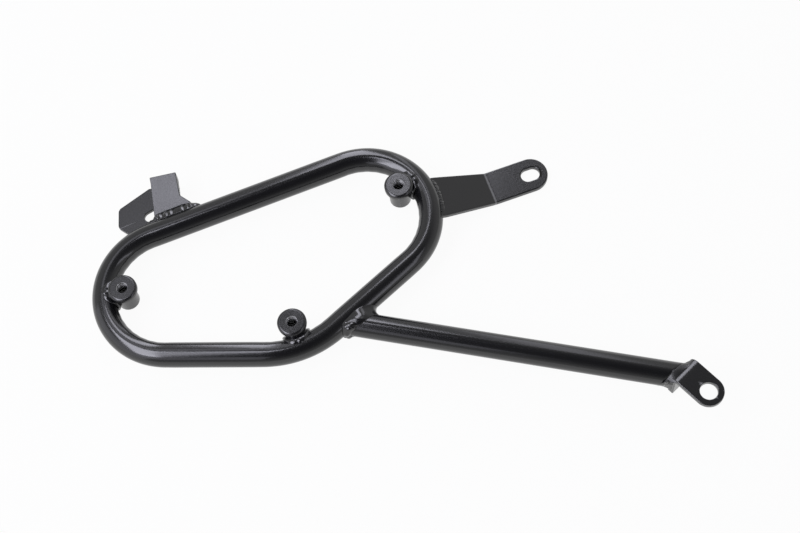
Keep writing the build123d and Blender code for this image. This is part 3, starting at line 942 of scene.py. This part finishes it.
def makePlateBead(look):
    # under the tube, along the plate's south edge
    lean = np.cos(tubeLean)
    along = np.linspace(bracketShape["southWest"] / lean, bracketShape["southEast"] / lean, look["count"])
    line = bracketRoot + along[:, None] * topWay
    edge = -bracketShape["underTube"] * lean
    root = line + edge * topSide + (plateMiddle + look["sunk"]) * upward
    plateToe = line + edge * topSide + (plateMiddle - look["onPlate"]) * upward
    angle = np.arcsin((edge - look["leg"]) / tubeRadius)
    tubeToe = line + tubeRadius * np.sin(angle) * topSide - tubeRadius * np.cos(angle) * upward
    return beadSurface("plateBead", root, plateToe, tubeToe, look, False)


makePlateBead(plateBead)
print("weld beads made")

# in metres; seen is the share of plain white that the camera and reflections get
stageLook = {
    "floor": (0.56, 0.56, 0.56, 1), "roughness": 0.9, "size": 30.0, "height": cadBox[0][2], "gap": 0.0002,
    "seen": 0.95,
}


def makeFloor(look):
    # one level sheet: nearly white to the camera and in reflections, and the rest of it takes the shadow
    half = look["size"] / 2
    level = look["height"] - look["gap"]
    mesh = bpy.data.meshes.new("floor")
    corners = [(-half, -half, level), (half, -half, level), (half, half, level), (-half, half, level)]
    mesh.from_pydata(corners, [], [(0, 1, 2, 3)])
    floor = bpy.data.objects.new("floor", mesh)
    scene.collection.objects.link(floor)
    material = bpy.data.materials.new("paleFloor")
    material.use_nodes = True
    tree = material.node_tree
    shader = tree.nodes["Principled BSDF"]
    shader.inputs["Base Color"].default_value = look["floor"]
    shader.inputs["Roughness"].default_value = look["roughness"]
    ray, mirrored, either, share = addNodes(tree, "LightPath", "Math", "Math", "Math")
    glow, mix = addNodes(tree, "Emission", "MixShader")
    mirrored.operation = "MAXIMUM"
    either.operation = "MAXIMUM"
    share.operation = "MULTIPLY"
    share.inputs[1].default_value = look["seen"]
    wire(
        tree,
        (ray.outputs["Is Glossy Ray"], mirrored.inputs[0]),
        (ray.outputs["Is Transmission Ray"], mirrored.inputs[1]),
        (ray.outputs["Is Camera Ray"], either.inputs[0]),
        (mirrored.outputs[0], either.inputs[1]),
        (either.outputs[0], share.inputs[0]),
        (share.outputs[0], mix.inputs[0]),
        (shader.outputs[0], mix.inputs[1]),
        (glow.outputs[0], mix.inputs[2]),
        (mix.outputs[0], tree.nodes["Material Output"].inputs["Surface"]),
    )
    mesh.materials.append(material)


makeFloor(stageLook)

# studio walls: the darkest way, above and behind the camera, and the brightness by the cosine from that way
wallLook = {"darkWay": (0.1, -0.4, 0.91), "stops": ((0.3, 0.58), (0.6, 0.43), (0.8, 0.16), (1.0, 0.05))}


def makeWorld(look):
    # a grey that falls from the walls to the dark of the ceiling with the cosine from the darkest way
    world = bpy.data.worlds.new("studio")
    world.use_nodes = True
    tree = world.node_tree
    place, lean, ramp = addNodes(tree, "TexCoord", "VectorMath", "ValToRGB")
    lean.operation = "DOT_PRODUCT"
    lean.inputs[1].default_value = Vector(look["darkWay"]).normalized()
    stops = ramp.color_ramp.elements
    stops.remove(stops[1])
    for number, (spot, bright) in enumerate(look["stops"]):
        stop = stops.new(spot) if number else stops[0]
        stop.position = spot
        stop.color = (bright, bright, bright, 1)
    wire(
        tree,
        (place.outputs["Generated"], lean.inputs[0]),
        (lean.outputs["Value"], ramp.inputs["Fac"]),
        (ramp.outputs["Color"], tree.nodes["Background"].inputs["Color"]),
    )
    scene.world = world


makeWorld(wallLook)

# soft boxes: where each stands, its length and breadth in metres, the way its length runs and its brightness
softBoxes = {
    "keyBox": ((-0.631, -0.269, 1.071), 1.2, 0.43, (0.32, 1.0, 0.0), 6.9),
    "keyEdge": ((-0.372, -0.352, 1.186), 1.2, 0.16, (0.32, 1.0, 0.0), 3.6),
    "flangeCard": ((-0.198, 0.094, 1.279), 0.17, 0.15, (0.32, 1.0, 0.0), 3.8),
    "northStrip": ((-0.144, 1.066, 0.79), 1.25, 0.27, (0.15, -0.6, 1.0), 4.9),
    "southCard": ((-0.487, -0.917, 0.712), 0.75, 0.5, (1.0, -0.5, 0.0), 0.8),
    "highCard": ((-0.377, 0.537, 1.188), 0.36, 0.3, (0.0, -0.6, 1.0), 1.02),
    "northCard": ((0.308, 1.103, 0.696), 1.3, 0.17, (0.0, -0.6, 1.0), 1.2),
    "westPanel": ((-1.23, -0.55, 0.56), 1.9, 1.1, (0.4, -0.9, 0.0), 0.64),
    "eastCard": ((0.99, -0.41, 0.8), 1.0, 0.22, (0.6, -0.9, -0.3), 1.5),
}
lampLook = {"colour": (0.89, 0.89, 1.0), "aim": Vector((0.03, 0.04, 0.0))}


def addSoftBox(name, place, long, broad, way, bright):
    # an area lamp that faces the object, whose power gives the wanted brightness over its face
    lamp = bpy.data.lights.new(name, "AREA")
    lamp.shape = "RECTANGLE"
    lamp.size = long
    lamp.size_y = broad
    lamp.energy = np.pi * bright * long * broad
    lamp.color = lampLook["colour"]
    box = bpy.data.objects.new(name, lamp)
    back = (Vector(place) - lampLook["aim"]).normalized()
    across = back.cross(Vector(way)).normalized()
    turn = Matrix((across.cross(back), across, back)).transposed().to_4x4()
    box.matrix_world = Matrix.Translation(place) @ turn
    box.visible_camera = False
    scene.collection.objects.link(box)


for name, settings in softBoxes.items():
    addSoftBox(name, *settings)

# the photograph's own view: where the camera stands, its three axes and its lens
cameraLook = {
    "eye": (0.1354, -0.3442, 0.8797), "right": (0.9974, 0.0205, -0.0696), "up": (0.0091, 0.9159, 0.4013),
    "back": (0.0720, -0.4009, 0.9133), "lens": 67.95, "sensor": 36.0,
}


def makeCamera(look):
    # the three axes are the columns of the camera's turn
    lens = bpy.data.cameras.new("camera")
    lens.lens = look["lens"]
    lens.sensor_width = look["sensor"]
    camera = bpy.data.objects.new("camera", lens)
    turn = Matrix((look["right"], look["up"], look["back"])).transposed().to_4x4()
    camera.matrix_world = Matrix.Translation(look["eye"]) @ turn
    scene.collection.objects.link(camera)
    scene.camera = camera


makeCamera(cameraLook)
print("stage, light and camera made")
